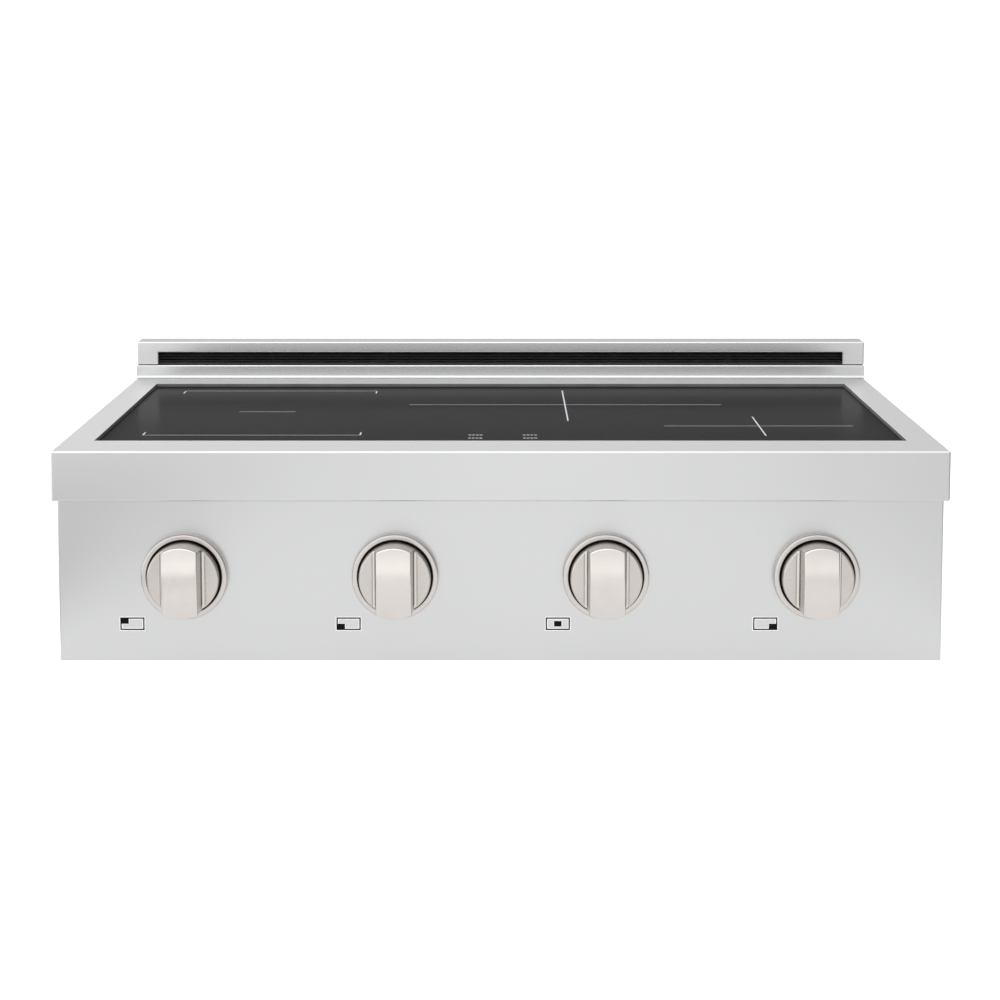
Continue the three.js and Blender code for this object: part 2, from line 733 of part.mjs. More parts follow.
// Four screw terminals for the mains supply.
function terminalBlock() {
  const y0 = REAR_Y - 76;
  const solids = [box(INLET_X - 32, INLET_X + 32, y0, y0 + 24, FLOOR_Z, FLOOR_Z + 18)];
  for (let i = 0; i < 4; i += 1) {
    solids.push(post(INLET_X - 24 + i * 16, y0 + 12, FLOOR_Z + 17, FLOOR_Z + 21, 5, 8));
  }
  return join(...solids);
}

// The cover over the mains terminals, open below and towards the inlet.
function terminalCover() {
  const y0 = REAR_Y - 86;
  const y1 = REAR_Y - 8;
  const z1 = 78;
  return cut(
    box(INLET_X - 45, INLET_X + 45, y0, y1, FLOOR_Z, z1),
    box(INLET_X - 45 + SHEET, INLET_X + 45 - SHEET, y0 + SHEET, y1 + 1, FLOOR_Z - 1, z1 - SHEET),
  );
}

// The inlet bush in the rear panel that a supply cable would come through.
function inletGland() {
  const points = [
    [9, -5],
    [13, -5],
    [13, SHEET + GAP],
    [18, SHEET + GAP],
    [18, 4.6],
    [15, 5.6],
    [9, 5.6],
  ];
  const profile = [...points, points[0]].map(([r, h]) => new THREE.Vector2(r, h));
  const geometry = new THREE.LatheGeometry(profile, 20);
  geometry.translate(INLET_X, REAR_PANEL_Y, INLET_HEIGHT);
  return solid(geometry);
}

add("top_frame", topFrame(), MATERIALS.steel);
add("glass_top", glassTop(), MATERIALS.glass);
add("glass_gasket", glassGasket(), MATERIALS.rubber);
add("front_panel", frontPanel(), MATERIALS.steel);
add("left_side_panel", sidePanel(-1), MATERIALS.steel);
add("right_side_panel", sidePanel(1), MATERIALS.steel);
add("rear_panel", rearPanel(), MATERIALS.galvanised);
add("base_pan", basePan(), MATERIALS.galvanised);
add("backguard_riser", riser(), MATERIALS.steel);
add("backguard_cover", backguardCover(), MATERIALS.steel);
add("vent_grille", ventGrille(), MATERIALS.blackSteel);

for (let i = 0; i < KNOB_COUNT; i += 1) {
  add(`bezel_${i + 1}`, bezel(i), MATERIALS.nickel);
  add(`knob_${i + 1}`, knob(i), MATERIALS.nickel);
  add(`knob_shaft_${i + 1}`, knobShaft(i), MATERIALS.shaftSteel);
  add(`selector_${i + 1}`, selector(i), MATERIALS.blackPlastic);
}
add("selector_rail", selectorRail(), MATERIALS.galvanised);

add("coil_tray", coilTray(), MATERIALS.aluminium);
trayScrewPlaces().forEach((place, i) => add(`tray_screw_${i + 1}`, trayScrew(place), MATERIALS.shaftSteel));
for (const [name, zone] of Object.entries(ZONES)) {
  add(`coil_carrier_${name}`, coilCarrier(zone), MATERIALS.ferrite);
  add(`coil_${name}`, coil(zone), MATERIALS.copper);
  add(`zone_sensor_${name}`, zoneSensor(zone), MATERIALS.ceramic);
}
add("display_board", displayBoard(), MATERIALS.board);

for (const [side, sign] of [["left", -1], ["right", 1]]) {
  add(`power_board_${side}`, powerBoard(sign), MATERIALS.board);
  add(`heat_sink_${side}`, heatSink(sign), MATERIALS.aluminium);
  add(`fan_housing_${side}`, fanHousing(sign), MATERIALS.blackPlastic);
  add(`fan_rotor_${side}`, fanRotor(sign), MATERIALS.blackPlastic);
}
add("exhaust_duct", exhaustDuct(), MATERIALS.galvanised);
add("filter_board", filterBoard(), MATERIALS.board);
add("terminal_block", terminalBlock(), MATERIALS.blackPlastic);
add("terminal_cover", terminalCover(), MATERIALS.galvanised);
add("inlet_gland", inletGland(), MATERIALS.blackPlastic);

export default rangetop;
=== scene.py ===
"""The looks of a 36 inch induction rangetop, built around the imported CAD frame.

Everything is in metres, with +Z up and the front facing -Y.
"""

import json
import math

import bmesh
import bpy
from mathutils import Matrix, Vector


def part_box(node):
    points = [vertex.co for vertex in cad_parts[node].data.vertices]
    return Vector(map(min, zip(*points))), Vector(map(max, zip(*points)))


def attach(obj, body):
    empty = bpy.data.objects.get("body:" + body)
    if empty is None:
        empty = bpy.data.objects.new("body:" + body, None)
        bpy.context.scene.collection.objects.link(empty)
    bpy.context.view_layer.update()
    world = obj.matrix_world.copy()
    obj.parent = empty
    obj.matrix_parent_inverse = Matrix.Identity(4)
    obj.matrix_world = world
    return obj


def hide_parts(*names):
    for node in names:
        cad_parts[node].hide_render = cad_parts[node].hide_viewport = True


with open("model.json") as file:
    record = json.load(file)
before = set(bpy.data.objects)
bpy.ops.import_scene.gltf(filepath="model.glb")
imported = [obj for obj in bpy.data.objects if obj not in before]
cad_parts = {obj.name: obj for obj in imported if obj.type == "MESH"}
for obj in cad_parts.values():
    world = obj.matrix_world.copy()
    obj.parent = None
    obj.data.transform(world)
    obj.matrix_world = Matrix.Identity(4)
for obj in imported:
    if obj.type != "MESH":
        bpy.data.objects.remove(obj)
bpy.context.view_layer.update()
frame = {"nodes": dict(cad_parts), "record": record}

NODES = frame["nodes"]
MM = 0.001
SHEET = 1.2 * MM
GAP = 0.3 * MM
CASING = "casing"

# The camera, found from the photo's perspective. The tilt is in degrees and the lens in millimetres.
CAMERA_PLACE = (-0.0006, -2.9641, 0.605)
CAMERA_TILT = 7.114
CAMERA_LENS = 94.55
CAMERA_SHIFT = -0.1

# Studio light. Each wall has (height of the direction, brightness) stops. WALL_JOIN says where the wall
# in front passes into the wall behind, and SIDE_WALLS scales both from the left to the right.
WALL_BEHIND = [(0.0, 1.35), (0.04, 1.35), (0.065, 0.3), (0.16, 0.35), (0.32, 1.3), (0.7, 2.2)]
WALL_IN_FRONT = [(0.0, 1.85), (0.1, 1.75), (0.32, 1.2), (0.5, 1.7), (0.8, 2.2)]
WALL_JOIN = [(0.45, 0.0), (0.6, 1.0)]
SIDE_WALLS = [(0.03, 1.0), (0.5, 1.0), (0.62, 0.8), (0.78, 0.3)]

# The floor has one level in a wedge that covers what the photo's camera sees. The wedge's half width at
# the middle of the part is WEDGE_HALF, and it grows by WEDGE_SLOPE per metre towards the back. Outwards
# from there the stops are (share of FLOOR_REACH, brightness). They show in the steel's reflections and in
# views from other sides.
FLOOR_LEVEL = 1.06
FLOOR_LEFT = [(0.0, FLOOR_LEVEL), (0.06, 0.5), (0.34, 0.5), (0.44, 1.8)]
FLOOR_RIGHT = [(0.0, FLOOR_LEVEL), (0.06, 0.84), (0.34, 0.84), (0.42, 0.15)]
FLOOR_REACH = 2.0
FLOOR_RADIUS = 4.0
WEDGE_HALF = 0.58
WEDGE_SLOPE = 0.19

KNOBS = [1, 2, 3, 4]
ZONES = ["front_left", "rear_left", "centre", "front_right"]
FANS = ["left", "right"]

# A colour mix node's sockets.
MIX_FACTOR, MIX_FIRST, MIX_SECOND, MIX_RESULT = 0, 6, 7, 2


# ---------------------------------------------------------------- camera, light and floor


def make_camera():
    """A long lens in front of the part and above it, tilted down, with its frame shifted down."""
    camera = bpy.data.cameras.new("camera")
    camera.lens = CAMERA_LENS
    camera.sensor_width = 36
    camera.shift_y = CAMERA_SHIFT
    camera.clip_end = 200
    holder = bpy.data.objects.new("camera", camera)
    holder.location = CAMERA_PLACE
    holder.rotation_euler = (math.radians(90 - CAMERA_TILT), 0, 0)
    bpy.context.scene.collection.objects.link(holder)
    bpy.context.scene.camera = holder


def area_light(name, place, target, size, power):
    """A rectangular lamp at place that points at target."""
    lamp = bpy.data.lights.new(name, "AREA")
    lamp.shape = "RECTANGLE"
    lamp.size, lamp.size_y = size
    lamp.energy = power
    holder = bpy.data.objects.new(name, lamp)
    holder.location = place
    holder.rotation_euler = (Vector(target) - Vector(place)).to_track_quat("-Z", "Y").to_euler()
    bpy.context.scene.collection.objects.link(holder)


def color_ramp(nodes, links, value, stops):
    """A grey level that runs through (position, level) stops with value."""
    made = nodes.new("ShaderNodeValToRGB")
    links.new(value, made.inputs["Fac"])
    elements = made.color_ramp.elements
    while len(elements) < len(stops):
        elements.new(0.5)
    for element, (position, level) in zip(elements, stops):
        element.position = position
        element.color = (level, level, level, 1)
    return made.outputs["Color"]


def make_world():
    """A pale studio: a bright wall in front, a dark band low behind, and a very bright ceiling."""
    world = bpy.data.worlds.new("studio")
    bpy.context.scene.world = world
    world.use_nodes = True
    nodes, links = world.node_tree.nodes, world.node_tree.links
    coords = nodes.new("ShaderNodeTexCoord")
    axes = nodes.new("ShaderNodeSeparateXYZ")
    links.new(coords.outputs["Generated"], axes.inputs[0])

    def blend(kind, factor, first, second):
        made = nodes.new("ShaderNodeMix")
        made.data_type = "RGBA"
        made.blend_type = kind
        for socket, value in ((MIX_FACTOR, factor), (MIX_FIRST, first), (MIX_SECOND, second)):
            if isinstance(value, float):
                made.inputs[socket].default_value = value
            else:
                links.new(value, made.inputs[socket])
        return made.outputs[MIX_RESULT]

    def from_minus_one(axis):
        """A direction's coordinate, moved from -1 to 1 into 0 to 1."""
        made = nodes.new("ShaderNodeMapRange")
        made.inputs["From Min"].default_value = -1
        links.new(axis, made.inputs["Value"])
        return made.outputs["Result"]

    behind = color_ramp(nodes, links, axes.outputs["Z"], WALL_BEHIND)
    in_front = color_ramp(nodes, links, axes.outputs["Z"], WALL_IN_FRONT)
    facing = color_ramp(nodes, links, from_minus_one(axes.outputs["Y"]), WALL_JOIN)
    sides = color_ramp(nodes, links, from_minus_one(axes.outputs["X"]), SIDE_WALLS)
    wall = blend("MULTIPLY", 1.0, blend("MIX", facing, in_front, behind), sides)
    links.new(wall, nodes["Background"].inputs["Color"])


def make_floor():
    """A floor that glows evenly where the photo's camera sees it, with other levels beside that."""
    bm = bmesh.new()
    bmesh.ops.create_circle(bm, cap_ends=True, radius=FLOOR_RADIUS, segments=96)
    mesh = bpy.data.meshes.new("floor")
    bm.to_mesh(mesh)
    bm.free()
    floor = bpy.data.objects.new("floor", mesh)
    bpy.context.scene.collection.objects.link(floor)
    paint = Shade("floor_paint", (0.1, 0.1, 0.1), 0.9)
    coords = paint.node("ShaderNodeTexCoord")
    axes = paint.node("ShaderNodeSeparateXYZ")
    paint.links.new(coords.outputs["Object"], axes.inputs[0])

    def compute(operation, *values):
        made = paint.node("ShaderNodeMath", operation=operation)
        for socket, value in zip(made.inputs, values):
            if isinstance(value, float):
                socket.default_value = value
            else:
                paint.links.new(value, socket)
        return made.outputs[0]

    half_width = compute("MULTIPLY_ADD", axes.outputs["Y"], WEDGE_SLOPE, WEDGE_HALF)
    levels = []
    for side, stops in ((-1.0, FLOOR_LEFT), (1.0, FLOOR_RIGHT)):
        outward = compute("MULTIPLY", axes.outputs["X"], side)
        past = compute("SUBTRACT", outward, half_width)
        share = compute("DIVIDE", past, FLOOR_REACH)
        levels.append(color_ramp(paint.nodes, paint.links, share, stops))
    level = compute("SUBTRACT", compute("ADD", *levels), FLOOR_LEVEL)
    paint.set("Emission Color", (1, 1, 1, 1))
    paint.links.new(level, paint.shader.inputs["Emission Strength"])
    floor.data.materials.append(paint.material)


def make_studio():
    """The camera, the world, the floor and one soft lamp."""
    make_camera()
    make_world()
    make_floor()
    area_light("key", place=(-0.5, -1.4, 2.4), target=(0, 0, 0.15), size=(1.6, 1.0), power=3)
    bpy.context.scene.view_settings.view_transform = "Standard"


# ---------------------------------------------------------------- materials


class Shade:
    """A Principled material under construction."""

    def __init__(self, name, color, roughness, **sockets):
        self.material = bpy.data.materials.new(name)
        self.material.use_nodes = True
        self.nodes = self.material.node_tree.nodes
        self.links = self.material.node_tree.links
        self.shader = self.nodes["Principled BSDF"]
        self.set("Base Color", (*color, 1))
        self.set("Roughness", roughness)
        for socket, value in sockets.items():
            self.set(socket.replace("_", " "), value)

    def set(self, socket, value):
        """A constant on one of the shader's sockets."""
        self.shader.inputs[socket].default_value = value

    def node(self, kind, **values):
        """A new node, with values for its sockets or its own settings."""
        made = self.nodes.new(kind)
        for key, value in values.items():
            if key in made.inputs:
                made.inputs[key].default_value = value
            else:
                setattr(made, key, value)
        return made

    def noise(self, stretch, detail=3.0, roughness=0.55):
        """Noise in the part's own frame, with stretch cells per metre along X, Y and Z."""
        coords = self.node("ShaderNodeTexCoord")
        mapping = self.node("ShaderNodeMapping")
        mapping.inputs["Scale"].default_value = stretch
        made = self.node("ShaderNodeTexNoise", Scale=1.0, Detail=detail, Roughness=roughness)
        self.links.new(coords.outputs["Object"], mapping.inputs["Vector"])
        self.links.new(mapping.outputs["Vector"], made.inputs["Vector"])
        return made.outputs["Fac"]

    def span(self, value, low, high, start=0.3, end=0.7):
        """Runs from low to high while value runs from start to end."""
        made = self.node("ShaderNodeMapRange")
        made.inputs["From Min"].default_value = start
        made.inputs["From Max"].default_value = end
        made.inputs["To Min"].default_value = low
        made.inputs["To Max"].default_value = high
        self.links.new(value, made.inputs["Value"])
        return made.outputs["Result"]

    def tint(self, value, dark, light):
        """The base colour runs between two colours with value."""
        made = self.node("ShaderNodeMix", data_type="RGBA")
        made.inputs[MIX_FIRST].default_value = (*dark, 1)
        made.inputs[MIX_SECOND].default_value = (*light, 1)
        self.links.new(value, made.inputs[MIX_FACTOR])
        self.links.new(made.outputs[MIX_RESULT], self.shader.inputs["Base Color"])

    def vary_roughness(self, value, low, high):
        """The roughness runs from low to high with value."""
        self.links.new(self.span(value, low, high), self.shader.inputs["Roughness"])

    def bump(self, value, strength, depth):
        """Raises the surface by depth with value, as seen through the shading."""
        made = self.node("ShaderNodeBump", Strength=strength, Distance=depth)
        self.links.new(value, made.inputs["Height"])
        self.links.new(made.outputs["Normal"], self.shader.inputs["Normal"])


def scaled(color, factor):
    """A lighter or darker version of a colour."""
    return tuple(min(1.0, c * factor) for c in color)


def brushed(name, color, roughness, along="X"):
    """Brushed sheet steel: long fine scratches along one axis and a faint broad unevenness."""
    shade = Shade(name, color, roughness, Metallic=1.0)
    stretch = {"X": (12, 3500, 3500), "Y": (3500, 12, 3500)}[along]
    scratches = shade.noise(stretch, detail=4.0, roughness=0.7)
    broad = shade.noise((3, 3, 3), detail=2.0)
    shade.tint(shade.span(broad, 0, 1), scaled(color, 0.99), scaled(color, 1.01))
    shade.vary_roughness(scratches, roughness - 0.001, roughness + 0.001)
    shade.bump(scratches, 0.0006, 0.03 * MM)
    return shade.material


def satin_metal(name, color, roughness, grain=2600.0):
    """Bead-blasted and plated metal: a very fine even grain."""
    shade = Shade(name, color, roughness, Metallic=1.0)
    grains = shade.noise((grain,) * 3, detail=2.0)
    broad = shade.noise((60,) * 3, detail=2.0)
    shade.tint(shade.span(broad, 0, 1), scaled(color, 0.98), scaled(color, 1.02))
    shade.vary_roughness(grains, roughness - 0.03, roughness + 0.03)
    shade.bump(grains, 0.15, 0.02 * MM)
    return shade.material


def galvanised_sheet(name):
    """Zinc-coated sheet: a soft spangle of crystals."""
    shade = Shade(name, (0.55, 0.57, 0.59), 0.45, Metallic=0.9)
    coords = shade.node("ShaderNodeTexCoord")
    cells = shade.node("ShaderNodeTexVoronoi", Scale=110.0)
    shade.links.new(coords.outputs["Object"], cells.inputs["Vector"])
    crystal = shade.node("ShaderNodeSeparateColor")
    shade.links.new(cells.outputs["Color"], crystal.inputs[0])
    shade.tint(crystal.outputs[0], (0.49, 0.51, 0.53), (0.62, 0.64, 0.66))
    shade.links.new(shade.span(crystal.outputs[1], 0.36, 0.55, 0, 1), shade.shader.inputs["Roughness"])
    return shade.material


def black_glass(name):
    """Polished black glass-ceramic, with a faint haze of wiping."""
    shade = Shade(name, (0.008, 0.008, 0.009), 0.19, IOR=1.028)
    haze = shade.noise((5, 16, 5), detail=4.0, roughness=0.6)
    shade.tint(shade.span(haze, 0, 1), (0.007, 0.007, 0.008), (0.010, 0.010, 0.011))
    shade.vary_roughness(haze, 0.185, 0.2)
    return shade.material


def moulding(name, color, roughness, grain=1800.0, **sockets):
    """Moulded plastic, rubber or paint: a faint surface grain."""
    shade = Shade(name, color, roughness, **sockets)
    grains = shade.noise((grain,) * 3, detail=2.0)
    broad = shade.noise((35,) * 3, detail=2.0)
    shade.tint(shade.span(broad, 0, 1), scaled(color, 0.88), scaled(color, 1.12))
    shade.vary_roughness(grains, roughness - 0.06, roughness + 0.06)
    shade.bump(grains, 0.2, 0.05 * MM)
    return shade.material


def print_ink(name, color):
    """Screen-printed ink with a faint unevenness."""
    shade = Shade(name, color, 0.8, IOR=1.2)
    broad = shade.noise((300,) * 3, detail=2.0)
    shade.tint(shade.span(broad, 0, 1), scaled(color, 0.93), scaled(color, 1.07))
    shade.vary_roughness(broad, 0.75, 0.9)
    return shade.material


def litz_wire(name):
    """Lacquered copper strands twisted into a cord."""
    shade = Shade(name, (0.62, 0.27, 0.13), 0.38, Metallic=0.85)
    strands = shade.noise((900, 900, 300), detail=3.0)
    shade.tint(shade.span(strands, 0, 1), (0.45, 0.17, 0.08), (0.75, 0.36, 0.2))
    shade.vary_roughness(strands, 0.3, 0.5)
    shade.bump(strands, 0.4, 0.2 * MM)
    return shade.material


def circuit_board(name):
    """Solder mask over copper tracks."""
    shade = Shade(name, (0.02, 0.12, 0.06), 0.35)
    coords = shade.node("ShaderNodeTexCoord")
    cells = shade.node("ShaderNodeTexVoronoi", Scale=160.0, distance="MANHATTAN")
    shade.links.new(coords.outputs["Object"], cells.inputs["Vector"])
    tracks = shade.span(cells.outputs["Distance"], 0, 1, 0.25, 0.45)
    shade.tint(tracks, (0.03, 0.19, 0.09), (0.012, 0.085, 0.04))
    shade.bump(tracks, 0.3, 0.1 * MM)
    return shade.material


STEEL_COLOR = (0.54, 0.541, 0.545)
STEEL_TOP_COLOR = (0.56, 0.561, 0.564)
NICKEL_COLOR = (0.57, 0.541, 0.515)
# A darker copy of the knob's nickel, painted on the lobes and the skirt as shade.
NICKEL_SHADED_COLOR = (0.495, 0.467, 0.444)
NICKEL_RING_COLOR = (0.53, 0.502, 0.48)

MATERIALS = {
    "steel": brushed("brushed_steel", STEEL_COLOR, 0.27),
    "steel_top": brushed("brushed_steel_top", STEEL_TOP_COLOR, 0.33),
    "steel_side": brushed("brushed_steel_side", STEEL_COLOR, 0.3, along="Y"),
    "galvanised": galvanised_sheet("galvanised_sheet"),
    "nickel": satin_metal("satin_nickel", NICKEL_COLOR, 0.24),
    "nickel_painted_shade": satin_metal("satin_nickel_painted_shade", NICKEL_SHADED_COLOR, 0.26),
    "nickel_ring": satin_metal("satin_nickel_ring", NICKEL_RING_COLOR, 0.26),
    "shaft_steel": satin_metal("turned_steel", (0.5, 0.51, 0.53), 0.32),
    "aluminium": satin_metal("plain_aluminium", (0.72, 0.73, 0.75), 0.4, grain=1200.0),
    "copper": litz_wire("litz_wire"),
    "glass_black": black_glass("black_glass"),
    "rubber": moulding("black_rubber", (0.02, 0.02, 0.021), 0.8),
    "black_steel": moulding("black_paint", (0.012, 0.012, 0.013), 0.42),
    "black_plastic": moulding("black_plastic", (0.022, 0.022, 0.024), 0.55),
    "ferrite": moulding("ferrite_moulding", (0.06, 0.06, 0.065), 0.7),
    "board": circuit_board("circuit_board"),
    "ceramic": moulding("white_ceramic", (0.78, 0.75, 0.69), 0.5),
    "mark": print_ink("glass_print", (0.5, 0.5, 0.51)),
    "tick": print_ink("tick_enamel", (0.16, 0.15, 0.14)),
    "grille_black": moulding("grille_paint", (0.028, 0.028, 0.0285), 0.4, grain=900.0, IOR=1.45),
    "sealant": moulding("black_sealant", (0.14, 0.14, 0.142), 0.6, IOR=1.3),
    "ink": print_ink("black_ink", (0.004, 0.004, 0.004)),
    "halo": print_ink("white_ink", (0.8, 0.8, 0.8)),
    # Near-black paint on the inner faces of the backguard and the knob rings: painted shade in the hollows.
    "painted_shade": moulding("black_painted_shade", (0.006, 0.006, 0.006), 0.7),
}


# ---------------------------------------------------------------- mesh helpers

BEND_ANGLE = math.radians(20)
CRISP_BEND = 0.35 * MM
TURNED_SIDES = 128


def finish_piece(name, bm, material, body=CASING, sharp=30):
    """A bmesh becomes a piece that rides on a body, with edges over the angle left sharp."""
    bm.normal_update()
    limit = math.radians(sharp)
    for face in bm.faces:
        face.smooth = True
    for edge in bm.edges:
        edge.smooth = len(edge.link_faces) == 2 and edge.calc_face_angle(0) < limit
    mesh = bpy.data.meshes.new(name)
    bm.to_mesh(mesh)
    bm.free()
    piece = bpy.data.objects.new(name, mesh)
    bpy.context.scene.collection.objects.link(piece)
    mesh.materials.append(MATERIALS[material])
    normals = piece.modifiers.new("normals", "WEIGHTED_NORMAL")
    normals.keep_sharp = True
    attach(piece, body)
    return piece


def paint_faces(piece, material, chosen):
    """Gives the faces that chosen(centre, normal) picks one more material."""
    piece.data.materials.append(MATERIALS[material])
    for polygon in piece.data.polygons:
        if chosen(polygon.center, polygon.normal):
            polygon.material_index = len(piece.data.materials) - 1


def grid(bm, across, up, point, keep=lambda u, v: True):
    """Quads on a flat grid: across and up are its breaks, and point(u, v) places a corner.

    keep(u, v) says whether the cell with that middle stays.
    """
    for u0, u1 in zip(across, across[1:]):
        for v0, v1 in zip(up, up[1:]):
            if keep((u0 + u1) / 2, (v0 + v1) / 2):
                corners = [(u0, v0), (u1, v0), (u1, v1), (u0, v1)]
                bm.faces.new([bm.verts.new(point(u, v)) for u, v in corners])


def sheet_piece(name, bm, inside, bend, lowest=0.0, tight=lambda point: False):
    """Folds a surface of flat faces into sheet steel, with round bends and its thickness on the side of the
    point inside. Nothing goes below lowest, and the edges that tight picks stay crisp."""
    bmesh.ops.remove_doubles(bm, verts=bm.verts, dist=0.01 * MM)
    bmesh.ops.recalc_face_normals(bm, faces=bm.faces)
    bm.normal_update()
    farthest = max(bm.faces, key=lambda f: (f.calc_center_median() - inside).length)
    if farthest.normal.dot(farthest.calc_center_median() - inside) < 0:
        bmesh.ops.reverse_faces(bm, faces=bm.faces)
        bm.normal_update()
    for crisp, offset in ((False, bend), (True, CRISP_BEND)):
        bm.normal_update()
        bends = [e for e in bm.edges if len(e.link_faces) == 2 and e.calc_face_angle(0) > BEND_ANGLE]
        edges = [e for e in bends if tight((e.verts[0].co + e.verts[1].co) / 2) == crisp]
        if edges:
            bmesh.ops.bevel(
                bm,
                geom=edges,
                offset=offset,
                segments=5,
                profile=0.5,
                affect="EDGES",
                clamp_overlap=True,
            )
    bmesh.ops.solidify(bm, geom=list(bm.faces), thickness=SHEET)
    for vert in bm.verts:
        vert.co.z = max(vert.co.z, lowest)
    return finish_piece(name, bm, "steel", sharp=32)


def turned_about_y(bm, profile, centre):
    """Turns (radius, distance ahead of the panel) points about the axis through centre, parallel to Y."""
    rings = []
    for radius, ahead in profile:
        ring = []
        for i in range(TURNED_SIDES):
            turn = 2 * math.pi * i / TURNED_SIDES
            x = centre.x + radius * math.sin(turn)
            z = centre.z + radius * math.cos(turn)
            ring.append(bm.verts.new((x, centre.y - ahead, z)))
        rings.append(ring)
    bridge_rings(bm, rings)
    return rings


def bridge_rings(bm, rings):
    """Side faces between rings of vertices that each have the same count."""
    for first, second in zip(rings, rings[1:]):
        count = len(first)
        for i in range(count):
            j = (i + 1) % count
            bm.faces.new([first[i], first[j], second[j], second[i]])


def quarter_turn(steps):
    """Angles from zero to a right angle."""
    return [math.pi / 2 * k / steps for k in range(steps + 1)]


def strip(bm, x0, x1, y0, y1, z0, z1):
    """A rectangular bar, strip or print."""
    made = bmesh.ops.create_cube(bm, size=1)["verts"]
    bmesh.ops.scale(bm, vec=(x1 - x0, y1 - y0, z1 - z0), verts=made)
    bmesh.ops.translate(bm, vec=((x0 + x1) / 2, (y0 + y1) / 2, (z0 + z1) / 2), verts=made)


def rounded(points, radii, steps):
    """A profile with its inner corners rounded: each curve starts and ends radius from its corner."""
    out = [points[0]]
    for before, here, after, radius in zip(points, points[1:], points[2:], radii):
        corner = Vector(here)
        if radius <= 0:
            out.append(here)
            continue
        start = corner + (Vector(before) - corner).normalized() * radius
        end = corner + (Vector(after) - corner).normalized() * radius
        for k in range(steps + 1):
            t = k / steps
            point = (1 - t) ** 2 * start + 2 * t * (1 - t) * corner + t**2 * end
            out.append((point.x, point.y))
    out.append(points[-1])
    return out


# ---------------------------------------------------------------- the surround, panels and backguard

frame_low, frame_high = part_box("top_frame")
glass_low, glass_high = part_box("glass_top")
gasket_low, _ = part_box("glass_gasket")
panel_low, panel_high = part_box("front_panel")
riser_low, riser_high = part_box("backguard_riser")
cover_low, cover_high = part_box("backguard_cover")
grille_low, grille_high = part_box("vent_grille")
duct_low, duct_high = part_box("exhaust_duct")

OPEN_X = glass_high.x + 0.5 * MM
OPEN_Y0 = glass_low.y - 0.5 * MM
OPEN_Y1 = glass_high.y + 0.5 * MM
LEDGE_Z = gasket_low.z - GAP
LEDGE = 12 * MM

# A face is on the inner side of the backguard's sheet, and gets painted shade, when its middle is this far
# inside the outline.
SKIN = 0.9 * MM
# The grille reaches this far past the slot's sides and top.
GRILLE_OVERLAP = 4 * MM


def make_top_frame():
    """The surround: a top with two openings, folded sides, a lip in front, and the glass's ledge."""
    bm = bmesh.new()
    x1, y0, y1 = frame_high.x, frame_low.y, frame_high.y
    z0, z1 = frame_low.z, frame_high.z
    lip_y = panel_low.y - GAP
    vent_x, vent_y0, vent_y1 = duct_high.x - 5 * MM, duct_low.y + 2 * MM, duct_high.y - 2 * MM
    xs = [-x1, -OPEN_X, -OPEN_X + LEDGE, -vent_x, vent_x, OPEN_X - LEDGE, OPEN_X, x1]
    ys = [y0, lip_y, OPEN_Y0, OPEN_Y0 + LEDGE, OPEN_Y1 - LEDGE, OPEN_Y1, vent_y0, vent_y1, y1]

    def on_top(x, y):
        over_glass = abs(x) < OPEN_X and OPEN_Y0 < y < OPEN_Y1
        over_vent = abs(x) < vent_x and vent_y0 < y < vent_y1
        return not over_glass and not over_vent

    grid(bm, xs, ys, lambda x, y: (x, y, z1), on_top)
    for y in (y0, y1):
        grid(bm, xs, [z0, z1], lambda x, z: (x, y, z))
    for x in (-x1, x1):
        grid(bm, ys, [z0, z1], lambda y, z: (x, y, z))
    grid(bm, xs, [y0, lip_y], lambda x, y: (x, y, z0))
    well_xs = [x for x in xs if abs(x) <= OPEN_X]
    well_ys = [y for y in ys if OPEN_Y0 <= y <= OPEN_Y1]
    for y in (OPEN_Y0, OPEN_Y1):
        grid(bm, well_xs, [LEDGE_Z, z1], lambda x, z: (x, y, z))
    for x in (-OPEN_X, OPEN_X):
        grid(bm, well_ys, [LEDGE_Z, z1], lambda y, z: (x, y, z))

    def on_ledge(x, y):
        return abs(x) > OPEN_X - LEDGE or not OPEN_Y0 + LEDGE < y < OPEN_Y1 - LEDGE

    grid(bm, well_xs, well_ys, lambda x, y: (x, y, LEDGE_Z), on_ledge)

    def in_opening(point):
        return abs(point.x) < OPEN_X + 1 * MM and OPEN_Y0 - 1 * MM < point.y < OPEN_Y1 + 1 * MM

    piece = sheet_piece("surround", bm, Vector((0, 0, z0)), 1.7 * MM, tight=in_opening)
    paint_faces(piece, "sealant", lambda centre, normal: in_opening(centre) and abs(normal.z) < 0.5)
    paint_faces(piece, "steel_top", lambda centre, normal: normal.z > 0.9)
    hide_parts("top_frame")


def make_front_panel():
    """The control panel: its face, a tongue behind the trim, and folds at the sides and the bottom."""
    bm = bmesh.new()
    x1, y0, y1, z1 = panel_high.x, panel_low.y, panel_high.y, frame_low.z - GAP
    tongue = x1 - 2 * MM
    xs = [-x1, -tongue, tongue, x1]
    grid(bm, xs, [0, z1], lambda x, z: (x, y0, z))
    grid(bm, [-tongue, tongue], [z1, panel_high.z], lambda x, z: (x, y0, z))
    for x in (-x1, x1):
        grid(bm, [y0, y1], [0, z1], lambda y, z: (x, y, z))
    grid(bm, xs, [y0, y1], lambda x, y: (x, y, 0))
    piece = sheet_piece("control_panel", bm, Vector((0, 0, 0.1)), 1.5 * MM)
    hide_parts("front_panel")


